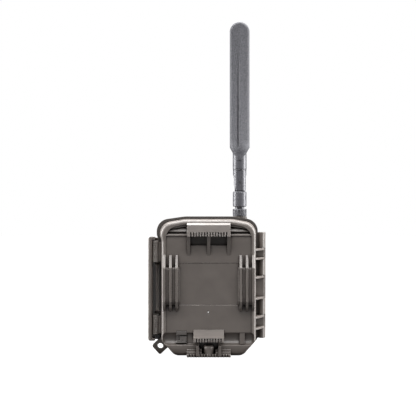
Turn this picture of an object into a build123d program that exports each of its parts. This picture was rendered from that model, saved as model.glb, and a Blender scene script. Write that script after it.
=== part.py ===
from build123d import *
import math
import os

# A trail camera in a two-piece weatherproof case with a hinged paddle antenna.
# Millimetres. +Z is up, the lens looks along -Y and the back that meets the tree faces +Y.
# The origin is the mouth of the tripod thread, in the middle of the foot.

# Case outline, seen from behind
REAR_HALF_W = 45.6
PARTING_HALF_W = 47.2
FLANGE_HALF_W = 48.9
BODY_HALF_W = 46.0
CASE_LOW = 1.2
REAR_TOP = 133.2
PARTING_TOP = 134.0
FLANGE_TOP = 136.6
BODY_TOP = 134.0
FLAT_INSET = 12.7
CHAMFER_RISE = 13.9
CREST_X = 24.0
SHOULDER_DROP = 4.0
CORNER_RADII = [9.0, 4.0, 12.5, 30.0]

# Above the latch the case bulges towards the latch side
BULGE_LOW, BULGE_HIGH = 112.4, 117.4
BULGE_RADIUS = 6.0
REAR_BULGE, PARTING_BULGE, FLANGE_BULGE = 1.2, 1.5, 2.9

# Back panel
PANEL_TOP = 119.0
GUTTER_Y = 2.6
LIP_LOW, LIP_HIGH = 117.9, 119.8
SHELF_LOW, SHELF_Y = 121.9, 5.7
GUTTER_Z, GUTTER_R = 17.5, 6.3
BAND_LOW, BAND_HIGH, BAND_HALF_W, BAND_DEPTH = 50.4, 91.4, 30.2, 0.35
VENT_X, VENT_Z, VENT_R = 0.5, 43.4, 0.75

# Depth of the case, from back to front
TEETH_Y = 16.5
FIN_Y = 15.6
RIM_Y = 7.5
RIM_ROUND = 3.2
PANEL_Y = 6.0
LIP_Y = 7.2
PARTING_Y = -26.0
FLANGE_Y = -26.4
FLANGE_FRONT_Y = -31.4
FRONT_WALL_Y = -60.0
FACE_Y = -65.0
WALL = 2.4

# Hinge and latch axes
HINGE_X, HINGE_Y = -52.8, -26.0
HINGE_R = 2.8
HINGE_PIN_R = 1.25
RUNNING_GAP = 0.07
HINGE_LOW, HINGE_HIGH = 15.6, 120.8
BACK_KNUCKLES = [(26.0, 38.7), (55.3, 77.7), (94.3, 105.0)]
KNUCKLE_GAP = 0.35
LATCH_X, LATCH_Y = 51.4, -38.0
LATCH_PIN_R = 1.4
LATCH_R = 3.0
LINK_SPANS = [(20.3, 39.0), (91.5, 112.3)]
LEVER_LOW, LEVER_HIGH = 13.8, 116.3

# Antenna
ANTENNA_X, ANTENNA_Y = -31.3, -46.0
SEAT_TOP = 134.6
NUT_LOW, NUT_HIGH = 136.7, 144.2
SWIVEL_LOW, SWIVEL_HIGH = 146.3, 161.7
PIVOT_Z = 171.0
SLEEVE_LOW, SLEEVE_HIGH = 183.0, 204.0
PADDLE_TIP, PADDLE_SHOULDER, PADDLE_TOP = 193.5, 206.1, 333.1
PADDLE_HALF_W = 10.0
PADDLE_RIDGE_LOW, PADDLE_RIDGE_HIGH, PADDLE_EDGE = 7.9, 4.2, 2.0
NUT_R, SWIVEL_R, SLEEVE_R = 7.0, 6.9, 7.0
STUD_R, TILT_PIN_R, CHEEK_Y = 3.15, 1.5, 6.2
TONGUE_Y, FORK_SLOT_Y = 2.4, 2.8

# Tripod boss and foot
INSERT_R = 3.9
THREAD_R = 2.6
THREAD_DEPTH = 8.0
FOOT_HALF_W = 21.3
FOOT_TOP = 7.6
BOSS_R, BOSS_TOP = 4.75, 11.0

# Insides
BOARD_REAR_Y, BOARD_FRONT_Y = -36.4, -38.0
INNER_PANEL_REAR_Y, INNER_PANEL_FRONT_Y = -28.5, -30.5
POSTS = [(-37.5, 21.0), (37.5, 21.0), (-37.5, 121.0), (37.5, 121.0)]
LENS_Z = 78.0
PIR_Z = 42.0
FACE_SCREWS = [(-31.0, 28.0), (31.0, 28.0), (-33.0, 88.0), (33.0, 88.0)]
IR_Z = 109.0
BUTTONS = {
    "ok": (0.0, 60.0),
    "up": (0.0, 71.5),
    "down": (0.0, 48.5),
    "left": (11.5, 60.0),
    "right": (-11.5, 60.0),
}
SWITCH_X, SWITCH_Z = 29.0, 62.0
AA_R, AA_LENGTH = 7.15, 50.5
AA_Y = -16.5
AA_COLUMNS = [-22.8, -7.6, 7.6, 22.8]
AA_ROWS = [12.4, 66.9]
JACK_X, JACK_Z, JACK_R = 26.5, 19.0, 4.2
COVER_AXIS_Y, COVER_AXIS_Z = 4.6, 13.9
LUG_X, LUG_Z = 48.1, 7.9
LUG_HOLE_R = 2.9


# Helpers

def block(x0, x1, y0, y1, z0, z1):
    """A box between two corners."""
    return Pos((x0 + x1) / 2, (y0 + y1) / 2, (z0 + z1) / 2) * Box(abs(x1 - x0), abs(y1 - y0), abs(z1 - z0))


def rod_x(y, z, r, x0, x1):
    """A cylinder along X."""
    return Pos((x0 + x1) / 2, y, z) * Rot(0, 90, 0) * Cylinder(r, abs(x1 - x0))


def rod_y(x, z, r, y0, y1):
    """A cylinder along Y."""
    return Pos(x, (y0 + y1) / 2, z) * Rot(90, 0, 0) * Cylinder(r, abs(y1 - y0))


def rod_z(x, y, r, z0, z1):
    """A cylinder along Z."""
    return Pos(x, y, (z0 + z1) / 2) * Cylinder(r, abs(z1 - z0))


def slab(face, y0, y1):
    """An outline drawn in X and Z, made solid between two depths."""
    return extrude(Plane.XZ.offset(-y1) * face, amount=y1 - y0)


def prism_x(points, x0, x1):
    """A polygon of (Y, Z) points, made solid between two X values."""
    face = Plane.YZ.offset(x0) * make_face(Polyline(*points, close=True))
    return extrude(face, amount=x1 - x0)


def prism_z(points, z0, z1):
    """A polygon of (X, Y) points, made solid between two heights."""
    face = Plane.XY.offset(z0) * make_face(Polyline(*points, close=True))
    return extrude(face, amount=z1 - z0)


def case_outline(half_w, low, top, bulge=0.0):
    """The case seen from behind: flat foot, chamfered corners, round shoulders and a gently arched top."""
    foot_corner = (half_w - FLAT_INSET, low)
    side_corner = (half_w, low + CHAMFER_RISE)
    crest = (CREST_X, top)
    latch_side = [foot_corner, side_corner, (half_w + bulge, top - SHOULDER_DROP), crest]
    latch_radii = list(CORNER_RADII)
    if bulge:
        latch_side[2:2] = [(half_w, BULGE_LOW), (half_w + bulge, BULGE_HIGH)]
        latch_radii[2:2] = [BULGE_RADIUS, BULGE_RADIUS]
    hinge_side = [crest, (half_w, top - SHOULDER_DROP), side_corner, foot_corner]
    points = latch_side + [(-x, z) for x, z in hinge_side]
    return make_face(FilletPolyline(*points, radius=latch_radii + CORNER_RADII[::-1], close=True))


def group(solids):
    """Several separate solids as one node."""
    return Compound(children=list(solids))


# Back half

def top_trough():
    """The gutter over the back panel: a shelf sloping out from the arched rim, and a deep gap over the lip."""
    half_w, half_flat, ends, middle = 41.0, 20.0, 124.2, 127.2
    points = [
        (-half_w, PANEL_TOP),
        (half_w, PANEL_TOP),
        (half_w, ends),
        (half_flat, middle),
        (-half_flat, middle),
        (-half_w, ends),
    ]
    shelf = [
        (0.0, SHELF_LOW),
        (SHELF_Y, SHELF_LOW),
        (SHELF_Y, SHELF_LOW + 0.4),
        (GUTTER_Y, middle + 0.4),
        (0.0, middle + 0.4),
    ]
    gutter = slab(make_face(Polyline(*points, close=True)), GUTTER_Y, PANEL_Y + 0.1)
    return gutter - prism_x(shelf, -half_w - 1, half_w + 1)


def bottom_trough():
    """The rounded gutter across the bottom of the back."""
    gutter = rod_x(RIM_Y, GUTTER_Z, GUTTER_R, -44.2, 44.9)
    return fillet(gutter.edges().filter_by(GeomType.CIRCLE), 4.0)


def top_bracket():
    """The toothed hood over the back panel, with three gussets."""
    half_w = 21.1
    profile = [
        (4.0, 130.4),
        (11.0, 130.4),
        (13.8, 128.5),
        (TEETH_Y, 117.3),
        (14.4, 117.3),
        (11.8, 126.2),
        (4.0, 126.2),
    ]
    hood = prism_x(profile, -half_w, half_w)
    pitch, notch_w, notches = 2.67, 1.5, 14
    for n in range(notches):
        x = (n - (notches - 1) / 2) * pitch
        hood -= block(x - notch_w / 2, x + notch_w / 2, 10, 20, 116, 121.6)
    gusset = [(0.5, 98.6), (PANEL_Y, 98.6), (14.9, 119.0), (13.4, 127.0), (0.5, 127.0)]
    for x in (-half_w + 1.5, 0.0, half_w - 1.5):
        hood += prism_x(gusset, x - 1.5, x + 1.5)
    return hood


def bottom_bracket():
    """The smaller toothed bracket over the tripod boss."""
    half_w = 14.8
    profile = [
        (0.0, 26.4),
        (PANEL_Y + 0.4, 26.4),
        (12.9, 20.8),
        (15.6, 19.2),
        (TEETH_Y, 14.9),
        (14.4, 14.9),
        (13.2, 17.2),
        (0.0, 17.2),
    ]
    body = prism_x(profile, -half_w, half_w)
    pitch, notch_w, notches = 2.64, 1.5, 10
    for n in range(notches):
        x = (n - (notches - 1) / 2) * pitch
        body -= block(x - notch_w / 2, x + notch_w / 2, 13, 20, 12, 18.5)
    return body


def foot():
    """The stepped foot under the bracket, with its serrated front edge and two ribs."""
    steps = [
        (-7.0, 0.0),
        (12.0, 0.0),
        (12.0, 2.5),
        (11.4, 3.1),
        (10.4, 3.1),
        (10.4, 4.8),
        (9.8, 5.4),
        (8.6, 5.4),
        (8.6, FOOT_TOP - 0.6),
        (8.0, FOOT_TOP),
        (-7.0, FOOT_TOP),
    ]
    body = prism_x(steps, -FOOT_HALF_W, FOOT_HALF_W)
    pitch, notch_w, notches = 2.64, 1.45, 15
    for n in range(notches):
        x = (n - (notches - 1) / 2) * pitch
        body -= block(x - notch_w / 2, x + notch_w / 2, 10.6, 13, -1, 3.2)
    rib = [(0.0, 1.0), (13.0, 1.0), (13.8, 10.4), (0.0, 10.4)]
    for x in (-10.8, 10.8):
        body += prism_x(rib, x - 1.3, x + 1.3)
    return body


def tripod_pocket():
    """The recess around the tripod boss, open to the back, and deeper close beside the boss."""
    return block(-9.5, 9.5, -5.5, 30, FOOT_TOP, 15.6) + block(-6.9, 6.9, -5.5, 30, 2.8, 8.0)


def tripod_boss():
    """The domed boss that holds the thread insert and joins the pocket's wall."""
    boss = rod_z(0, 7.0, BOSS_R, 1.0, BOSS_TOP) + block(-BOSS_R, BOSS_R, -6.5, 7.0, 1.0, BOSS_TOP)
    return fillet(boss.edges().group_by(Axis.Z)[-1].filter_by(lambda e: e.center().Y > -6.0), 2.2)


def strap_loop(side):
    """Three fins on a raised bridge, with a tunnel under it for the strap."""
    inner_x, outer_x = 28.8, 44.6
    profile = [
        (3.4, 88.0),
        (11.3, 87.0),
        (13.3, 85.8),
        (13.3, 57.4),
        (12.8, 54.2),
        (11.6, 52.0),
        (9.5, 50.6),
        (3.4, 50.0),
    ]
    loop = prism_x(profile, inner_x, outer_x)
    fin = [
        (3.4, 99.2),
        (7.4, 99.2),
        (FIN_Y, 86.8),
        (FIN_Y, 54.0),
        (13.0, 48.4),
        (7.4, 44.6),
        (3.4, 44.6),
    ]
    for x in (31.1, 37.2, 43.3):
        loop += prism_x(fin, x - 1.15, x + 1.15)
    loop -= block(inner_x - 1, outer_x + 3, PANEL_Y, 12.05, 53.2, 84.6)
    if side < 0:
        return mirror(loop, about=Plane.YZ)
    return loop


def back_knuckle(z0, z1):
    """One knuckle of the back half: a barrel on a web, between two end fins."""
    web = prism_z([(-46.8, -25.6), (HINGE_X, -25.6), (HINGE_X - 2.2, -22.0), (-46.8, -21.0)], z0, z1)
    body = web + rod_z(HINGE_X, HINGE_Y, HINGE_R, z0, z1)
    outer_x = HINGE_X - HINGE_R
    fin = [(-45.4, 4.4), (-48.6, -1.0), (outer_x, -22.0), (outer_x, -26.0), (-46.8, -25.6)]
    for low in (z0, z1 - 1.8):
        body += prism_z(fin, low, low + 1.8)
    return body


def padlock_lug(y0, y1):
    """The eye at the lower corner, a square turned on its corner and joined to the case."""
    corners = [(-6.0, -6.0), (6.0, -6.0), (6.0, 14.0), (-6.0, 14.0)]
    bar = slab(make_face(Polyline(*corners, close=True)), y0, y1)
    bar = fillet(bar.edges().filter_by(Axis.Y).group_by(Axis.Z)[0], 1.8)
    bar = Pos(LUG_X, 0, LUG_Z) * Rot(0, -47.5, 0) * bar
    return bar


def padlock_arm(y0, y1):
    """The padlock eye without what would reach inside the case."""
    return padlock_lug(y0, y1) - slab(case_outline(PARTING_HALF_W - WALL, CASE_LOW, 120), -40, 0)


def back_shell():
    """The tapered shell with its rounded rim, panel, gutters and hollows."""
    rear = case_outline(REAR_HALF_W, CASE_LOW, REAR_TOP, REAR_BULGE)
    parting = case_outline(PARTING_HALF_W, CASE_LOW, PARTING_TOP, PARTING_BULGE)
    shell = loft([Plane.XZ.offset(-RIM_Y) * rear, Plane.XZ.offset(-PARTING_Y) * parting], ruled=True)
    shell = fillet(shell.faces().sort_by(Axis.Y)[-1].edges(), RIM_ROUND)
    # the panel lies a little below the rim, and stops at the bottom gutter
    field = case_outline(REAR_HALF_W - 3.7, CASE_LOW, REAR_TOP - 4.2)
    shell -= slab(field, PANEL_Y, RIM_Y + 1) & block(-60, 60, -40, 40, GUTTER_Z, 160)
    shell -= top_trough()
    lip = [
        (0.0, LIP_LOW),
        (LIP_Y, LIP_LOW),
        (LIP_Y, LIP_HIGH - 1.1),
        (LIP_Y - 1.1, LIP_HIGH),
        (0.0, LIP_HIGH),
    ]
    shell += prism_x(lip, -42.4, 42.4)
    shell -= bottom_trough()
    shell -= block(-BAND_HALF_W, BAND_HALF_W, PANEL_Y - BAND_DEPTH, PANEL_Y + 1, BAND_LOW, BAND_HIGH)
    # wide hollow for the battery tray, a deeper one behind the panel, and the pocket under the top bracket
    hollow = case_outline(PARTING_HALF_W - WALL - 0.8, CASE_LOW + WALL, PARTING_TOP - WALL - 0.6)
    shell -= slab(hollow, -40, -7.5)
    shell -= block(-42.0, 42.0, -9, 3.0, 27.0, 105.0)
    shell -= block(-18.2, 18.2, -4.6, 9, 108.3, 120.6)
    return shell


def back_case():
    """The back half with everything that is moulded into it."""
    shell = back_shell()
    shell += top_bracket()
    shell += foot()
    shell -= tripod_pocket()
    shell += bottom_bracket()
    shell += tripod_boss()
    for side in (-1, 1):
        shell += strap_loop(side)
    # rib and blocks that cross the bottom gutter, and the ledge and pocket of the power socket's cover
    shell += block(-35.0, -30.2, 0, 5.4, 12.0, 23.4)
    shell += block(15.6, 20.9, 0, 3.2, 12.0, 23.6)
    shell += block(21.4, 31.7, 0, 4.3, 9.6, 12.7)
    shell += block(21.4, 31.7, 0, 7.0, 9.6, 12.0)
    shell -= block(21.2, 31.9, 2.9, 9, 12.7, 25.3)
    shell += padlock_arm(-25.4, -20.0)
    for z0, z1 in BACK_KNUCKLES:
        shell += back_knuckle(z0, z1)
    for z0, z1 in LINK_SPANS:
        shell += block(46.0, 49.6, -24.0, -15.0, z0 + 1.0, z1 - 1.0)
    # bores: hinge pin, thread insert, jack, padlock, cover barrel and the vent's recess
    shell -= rod_z(HINGE_X, HINGE_Y, HINGE_PIN_R, 0, 140)
    shell -= rod_z(0, 0, INSERT_R, -1, 9.0)
    shell -= rod_y(JACK_X, JACK_Z, JACK_R, -9, 3.2)
    shell -= rod_y(LUG_X, LUG_Z, LUG_HOLE_R, -40, 0)
    shell -= rod_x(COVER_AXIS_Y, COVER_AXIS_Z, 1.3, 21.0, 32.0)
    return shell - rod_y(VENT_X, VENT_Z, VENT_R + 0.6, PANEL_Y - 0.6, PANEL_Y + 1)


def vent_cap():
    """The small domed vent cap in the back panel."""
    cap = rod_y(VENT_X, VENT_Z, VENT_R, PANEL_Y - 0.6, PANEL_Y + 0.3)
    return fillet(cap.edges().sort_by(Axis.Y)[-1], 0.4)


def tripod_insert():
    """The knurled brass insert with the quarter-inch thread."""
    body = rod_z(0, 0, INSERT_R, 0, 9.0) - rod_z(0, 0, THREAD_R, -1, THREAD_DEPTH)
    for n in range(16):
        angle = 2 * math.pi * n / 16
        body -= rod_z(INSERT_R * math.cos(angle), INSERT_R * math.sin(angle), 0.2, 1.0, 10.0)
    return body


def dc_jack():
    """The external power socket with its centre pin."""
    body = rod_y(JACK_X, JACK_Z, JACK_R, -7.3, 2.2) - rod_y(JACK_X, JACK_Z, 2.75, -5.6, 3.0)
    return body + rod_y(JACK_X, JACK_Z, 0.65, -6.0, 0.8)


def dc_cover():
    """The stepped flap over the power socket, with its hinge barrel and short plug."""
    x0, x1, rear_y, low = 21.6, 31.5, 3.3, COVER_AXIS_Z + 1.5
    flap = block(x0, x1, rear_y, 4.0, low, 24.8)
    flap += block(x0, x1, rear_y, 5.9, 21.4, 24.8)
    flap += block(x0, 28.2, rear_y, 5.1, low, 19.7)
    flap += block(x0, x1, rear_y, 5.6, low, 16.2)
    flap += block(22.2, 30.9, 3.7, 5.2, COVER_AXIS_Z, low)
    flap += rod_x(COVER_AXIS_Y, COVER_AXIS_Z, 1.1, x0, x1)
    return flap + rod_y(JACK_X, JACK_Z, 2.1, 1.4, rear_y + 0.3)


def battery_tray():
    """The open tray for two rows of four AA cells, with low separators between the cells."""
    tray = block(-32.4, 32.4, -24.1, -7.8, 7.0, 121.4)
    for row in AA_ROWS:
        tray -= block(-30.6, 30.6, -25, -9.2, row - 3.9, row + AA_LENGTH + 0.5)
        for x in (-15.2, 0.0, 15.2):
            tray += block(x - 0.2, x + 0.2, -14.0, -9.1, row + 8.0, row + 20.0)
            tray += block(x - 0.2, x + 0.2, -14.0, -9.1, row + 30.0, row + 42.0)
    return tray


def battery_cover():
    """The lift-off cover of the battery tray, ribbed, with a finger notch."""
    cover = block(-32.4, 32.4, -25.5, -24.1, 7.0, 121.4)
    cover -= block(-10, 10, -26, -24.6, 112.0, 118.0)
    for z in range(20, 105, 12):
        cover -= block(-26, 26, -26, -25.0, z, z + 1.6)
    return cover


def battery_spring(x, z):
    """A conical contact spring, drawn as its stack of coils on a core."""
    spring = rod_z(x, AA_Y, 1.3, z, z + 3.3)
    for n in range(4):
        spring += rod_z(x, AA_Y, 3.8 - 0.6 * n, z + 0.8 * n, z + 0.8 * n + 0.45)
    return spring


def battery_cell(x, z):
    """One AA cell with its button."""
    return rod_z(x, AA_Y, AA_R, z, z + AA_LENGTH - 1.2) + rod_z(x, AA_Y, 2.7, z + 1, z + AA_LENGTH)


# Front half

def front_knuckles():
    """The front half's hinge knuckles, the strip that joins them and the plate behind them."""
    edges = [HINGE_LOW] + [z for pair in BACK_KNUCKLES for z in pair] + [HINGE_HIGH]
    arm = [(-45.0, -44.0), (-56.8, -40.0), (-56.8, -31.0), (HINGE_X - HINGE_R, -26.4), (-45.0, -26.4)]
    plate = [(-45.0, -44.0), (-56.0, -40.3), (-56.0, -38.7), (-45.0, -42.4)]
    body = block(-56.8, -55.2, -40.0, -31.0, HINGE_LOW, HINGE_HIGH)
    body += prism_z(plate, HINGE_LOW, HINGE_HIGH)
    for low, high in zip(edges[::2], edges[1::2]):
        z0 = low + (KNUCKLE_GAP if low > HINGE_LOW else 0)
        z1 = high - (KNUCKLE_GAP if high < HINGE_HIGH else 0)
        body += prism_z(arm, z0, z1) + rod_z(HINGE_X, HINGE_Y, HINGE_R, z0, z1)
    return body


def latch_lugs():
    """Four lugs on the side of the front half that carry the latch pin."""
    body = None
    profile = [(45.0, -44.0), (51.4, -41.0), (51.4, -35.0), (45.0, -32.0)]
    for z0, z1 in LINK_SPANS:
        for low, high in ((z0 - 3.0, z0 - KNUCKLE_GAP), (z1 + KNUCKLE_GAP, z1 + 3.0)):
            lug = prism_z(profile, low, high) + rod_z(LATCH_X, LATCH_Y, LATCH_R, low, high)
            body = lug if body is None else body + lug
    return body


def front_case():
    """The front shell: flange, body, windows in its front wall and posts for the boards."""
    flange = slab(case_outline(FLANGE_HALF_W, CASE_LOW, FLANGE_TOP, FLANGE_BULGE), FLANGE_FRONT_Y, FLANGE_Y)
    flange = fillet(flange.faces().sort_by(Axis.Y)[0].edges(), 1.4)
    body = slab(case_outline(BODY_HALF_W, CASE_LOW + 1.0, BODY_TOP), FRONT_WALL_Y, -27.0)
    body = fillet(body.faces().sort_by(Axis.Y)[0].edges(), 6.0)
    shell = flange + body
    shell += block(-20, 20, -57.0, -44.0, 0.0, 4.0)
    shell += rod_z(ANTENNA_X, ANTENNA_Y, 7.6, 120.0, SEAT_TOP)
    inside = case_outline(BODY_HALF_W - WALL, CASE_LOW + 1.0 + WALL, BODY_TOP - WALL)
    hollow = slab(inside, FRONT_WALL_Y + WALL, -20)
    shell -= hollow - rod_z(ANTENNA_X, ANTENNA_Y, 7.6, 129.6, SEAT_TOP)
    shell -= rod_z(ANTENNA_X, ANTENNA_Y, 5.2, 120.0, 129.6)
    shell += front_knuckles()
    shell += latch_lugs()
    shell += padlock_lug(-31.0, FLANGE_Y) - hollow
    # openings in the front wall
    shell -= block(-29, 29, -70, -50, IR_Z - 11.5, IR_Z + 11.5)
    shell -= rod_y(0, LENS_Z, 9.0, -70, -50)
    shell -= block(-14, 14, -70, -50, PIR_Z - 13, PIR_Z + 13)
    for x in (-24.0, 24.0):
        shell -= rod_y(x, LENS_Z, 2.6, -70, -50)
    shell -= rod_y(24.0, 56.0, 1.0, -70, -50)
    for x, z in POSTS:
        shell += rod_y(x, z, 3.2, FRONT_WALL_Y + 1, BOARD_FRONT_Y)
        shell -= rod_y(x, z, 1.2, FRONT_WALL_Y + 4, -20)
    for x in (-31.2, 31.2):
        shell += rod_y(x, IR_Z, 2.0, FRONT_WALL_Y + 1, -51.6)
    for x in (-17.0, 17.0):
        shell += rod_y(x, LENS_Z, 2.0, FRONT_WALL_Y + 1, -44.2)
    # gasket groove, hinge and latch bores, padlock hole and antenna hole
    shell -= gasket_ring(1.0, -28.4, -20)
    shell -= rod_z(HINGE_X, HINGE_Y, HINGE_PIN_R + RUNNING_GAP, 0, 140)
    shell -= rod_z(LATCH_X, LATCH_Y, LATCH_PIN_R, 0, 140)
    shell -= rod_y(LUG_X, LUG_Z, LUG_HOLE_R, -40, 0)
    shell -= rod_z(ANTENNA_X, ANTENNA_Y, STUD_R, 120, 150)
    for x, z in FACE_SCREWS:
        shell -= rod_y(x, z, 1.6, -70, -50)
    return shell


def latch_guard():
    """The dark plate on the front half's side that backs the latch."""
    return block(BODY_HALF_W, 57.8, -52.0, -50.4, 12.0, 115.0)


def gasket_ring(half_width, y0, y1):
    """A ring that follows the flange, this far each side of its middle line."""
    middle_w, middle_low, middle_top = 45.6, CASE_LOW + 1.8, PARTING_TOP - 1.2
    outer = case_outline(middle_w + half_width, middle_low - half_width, middle_top + half_width)
    inner = case_outline(middle_w - half_width, middle_low + half_width, middle_top - half_width)
    return slab(outer, y0, y1) - slab(inner, y0 - 1, y1 + 1)


def flange_seal():
    """The dark rain lip on the flange, round the back half."""
    outer = case_outline(FLANGE_HALF_W - 0.15, CASE_LOW + 0.2, FLANGE_TOP - 0.15, FLANGE_BULGE - 0.1)
    inner = case_outline(PARTING_HALF_W + 0.3, CASE_LOW - 3.0, PARTING_TOP + 0.3, PARTING_BULGE)
    return slab(outer, FLANGE_Y, FLANGE_Y + 0.45) - slab(inner, FLANGE_Y - 1, FLANGE_Y + 1)


def face_plate():
    """The front bezel that frames the windows."""
    outline = make_face(
        FilletPolyline(
            (-30, 12), (30, 12), (38, 22), (38, 122),
            (30, 128), (-30, 128), (-38, 122), (-38, 22),
            radius=5.0, close=True,
        )
    )
    plate = slab(outline, FACE_Y, FRONT_WALL_Y)
    plate = fillet(plate.faces().sort_by(Axis.Y)[0].edges(), 1.8)
    plate -= block(-29, 29, -70, -50, IR_Z - 11.5, IR_Z + 11.5)
    plate -= block(-31, 31, -70, -63.0, IR_Z - 13.5, IR_Z + 13.5)
    plate -= rod_y(0, LENS_Z, 9.0, -70, -50)
    plate -= rod_y(0, LENS_Z, 12.0, -70, -63.0)
    plate -= rod_y(0, PIR_Z, 14.0, -70, -50)
    plate -= rod_y(0, PIR_Z, 16.0, -64.0, -50)
    for x in (-24.0, 24.0):
        plate -= rod_y(x, LENS_Z, 2.6, -70, -50)
    plate -= rod_y(24.0, 56.0, 0.8, -70, -50)
    for x, z in FACE_SCREWS:
        plate -= rod_y(x, z, 1.2, -63, -50)
    return plate


def ir_window():
    """The dark infrared filter over the lamps."""
    window = block(-31, 31, -65.4, -63.0, IR_Z - 13.5, IR_Z + 13.5)
    return fillet(window.faces().sort_by(Axis.Y)[0].edges(), 0.6)


def ir_led(x, z):
    """One domed infrared lamp."""
    lamp = rod_y(x, z, 2.4, -56.6, -51.6)
    return fillet(lamp.edges().sort_by(Axis.Y)[0], 2.2)


def ir_board():
    """The lamp board, on two posts."""
    return block(-33.4, 33.4, -51.6, -50.0, IR_Z - 10.5, IR_Z + 10.5)


def lens_window():
    """The clear disc in front of the lens."""
    return rod_y(0, LENS_Z, 12.0, -64.6, -63.0)


def lens_barrel():
    """The lens in its threaded barrel."""
    barrel = rod_y(0, LENS_Z, 6.0, -59.0, -50.0) + rod_y(0, LENS_Z, 7.2, -59.6, -56.0)
    return barrel - rod_y(0, LENS_Z, 4.6, -62, -58.4)


def lens_holder():
    """The block that carries the lens over the image sensor, slotted for the filter slide."""
    holder = block(-11, 11, -55.0, -44.2, LENS_Z - 10, LENS_Z + 10)
    holder -= rod_y(0, LENS_Z, 6.0, -60, -49.0)
    holder -= rod_y(0, LENS_Z, 4.4, -60, -44.0)
    return holder - block(-20, 20, -48.6, -46.2, LENS_Z - 6.4, LENS_Z + 6.4)


def ir_filter():
    """The day and night filter slide, with two round glasses."""
    slide = block(-5.8, 13.8, -48.2, -46.6, LENS_Z - 6.0, LENS_Z + 6.0)
    for x in (0.0, 8.0):
        slide -= rod_y(x, LENS_Z, 3.6, -49, -47.8)
    return slide


def sensor_board():
    """The image sensor's board."""
    return block(-19.5, 19.5, -44.2, -43.0, LENS_Z - 12, LENS_Z + 12)


def pir_lens():
    """The domed motion lens with its flange."""
    cap = Pos(0, -52.0, PIR_Z) * Sphere(19.0) - Pos(0, -52.0, PIR_Z) * Sphere(17.8)
    dome = cap & rod_y(0, PIR_Z, 13.7, -75, -62.6)
    ring = rod_y(0, PIR_Z, 15.8, -63.9, -62.6) - rod_y(0, PIR_Z, 13.0, -70, -60)
    return dome + ring


def pir_sensor():
    """The motion sensor can on three legs."""
    can = rod_y(0, PIR_Z, 4.1, -44.4, -40.4) + rod_y(0, PIR_Z, 4.6, -41.2, -40.4)
    for x, z in ((-2.5, 0.0), (2.5, 0.0), (0.0, 2.5)):
        can += rod_y(x, PIR_Z + z, 0.3, -41.0, BOARD_FRONT_Y)
    return can


def round_lamp(x):
    """A small round window in the front, used for the status lamp and the light sensor."""
    return rod_y(x, LENS_Z, 2.5, -64.8, -57.0) + rod_y(x, LENS_Z, 3.2, -57.5, -56.6)


def microphone():
    """The microphone capsule behind its hole."""
    return rod_y(24.0, 56.0, 3.0, -57.6, -55.0)


def main_board():
    """The main circuit board, with holes over the posts."""
    board = block(-40, 40, BOARD_FRONT_Y, BOARD_REAR_Y, 17.0, 125.0)
    for x, z in POSTS:
        board -= rod_y(x, z, 1.3, -50, -30)
    return board


def modem_module():
    """The cellular module under its shield."""
    can = block(-34, -8, -41.0, BOARD_FRONT_Y, 22.0, 36.0)
    return fillet(can.edges().filter_by(Axis.Y), 1.0)


def inner_panel():
    """The control panel inside the front half."""
    panel = slab(case_outline(42.0, 8.0, 129.0), INNER_PANEL_FRONT_Y, INNER_PANEL_REAR_Y)
    panel -= block(-25.5, 25.5, -35, -25, 85.0, 123.0)
    panel -= block(SWITCH_X - 2.4, SWITCH_X + 2.4, -35, -25, SWITCH_Z - 6.5, SWITCH_Z + 6.5)
    panel -= block(4.0, 34.0, -35, -25, 9.5, 26.5)
    panel -= block(-33.0, -19.0, -35, -25, 22.0, 36.5)
    for name, (x, z) in BUTTONS.items():
        panel -= rod_y(x, z, 5.3 if name == "ok" else 4.3, -35, -25)
    for x, z in POSTS:
        panel += rod_y(x, z, 3.2, BOARD_REAR_Y, INNER_PANEL_FRONT_Y + 0.5)
        panel -= rod_y(x, z, 1.3, -40, -25)
        panel -= rod_y(x, z, 2.6, -29.9, -25)
    return panel


def lcd_frame():
    """The metal frame around the screen."""
    frame = block(-29, 29, -35.0, -30.5, 82.5, 125.0) - block(-27.0, 27.0, -33.6, -30, 84.0, 123.6)
    return frame + group([block(x - 1, x + 1, BOARD_REAR_Y, -34.8, 90, 96) for x in (-24, 24)])


def lcd_screen():
    """The colour screen in its frame."""
    return block(-26.8, 26.8, -33.6, -31.2, 84.2, 123.4)


def button(name):
    """One sealed key: cap, flange under the panel and stem."""
    x, z = BUTTONS[name]
    r = 4.9 if name == "ok" else 3.9
    cap = rod_y(x, z, r, -31.2, -27.6)
    cap = fillet(cap.edges().sort_by(Axis.Y)[-1], 0.7)
    return cap + rod_y(x, z, 1.4, -33.3, -31.0)


def tact_switch(x, z):
    """The small push switch under a key."""
    return block(x - 3, x + 3, BOARD_REAR_Y, -34.6, z - 3, z + 3) + rod_y(x, z, 1.7, -35, -34.0)


def switch_body():
    """The mode switch on the board."""
    body = block(SWITCH_X - 3.5, SWITCH_X + 3.5, BOARD_REAR_Y, -31.6, SWITCH_Z - 9, SWITCH_Z + 9)
    return body - block(SWITCH_X - 1.6, SWITCH_X + 1.6, -34.0, -30, SWITCH_Z - 6.0, SWITCH_Z + 6.0)


def switch_knob():
    """The knob of the mode switch, ribbed."""
    x, z = SWITCH_X, SWITCH_Z
    knob = block(x - 1.3, x + 1.3, -33.6, -29, z - 2.0, z + 2.0)
    knob += block(x - 2.0, x + 2.0, -31.2, -27.6, z - 2.6, z + 2.6)
    for dz in (-1.5, 0.0, 1.5):
        knob -= block(x - 3, x + 3, -28.0, -27, z + dz - 0.3, z + dz + 0.3)
    return knob


def card_slot(x0, x1, z0, z1):
    """A metal card socket, open at the bottom."""
    shell = block(x0, x1, BOARD_REAR_Y, -32.2, z0, z1)
    return shell - block(x0 + 0.8, x1 - 0.8, -35.6, -33.0, z0 - 1, z1 - 0.8)


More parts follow.
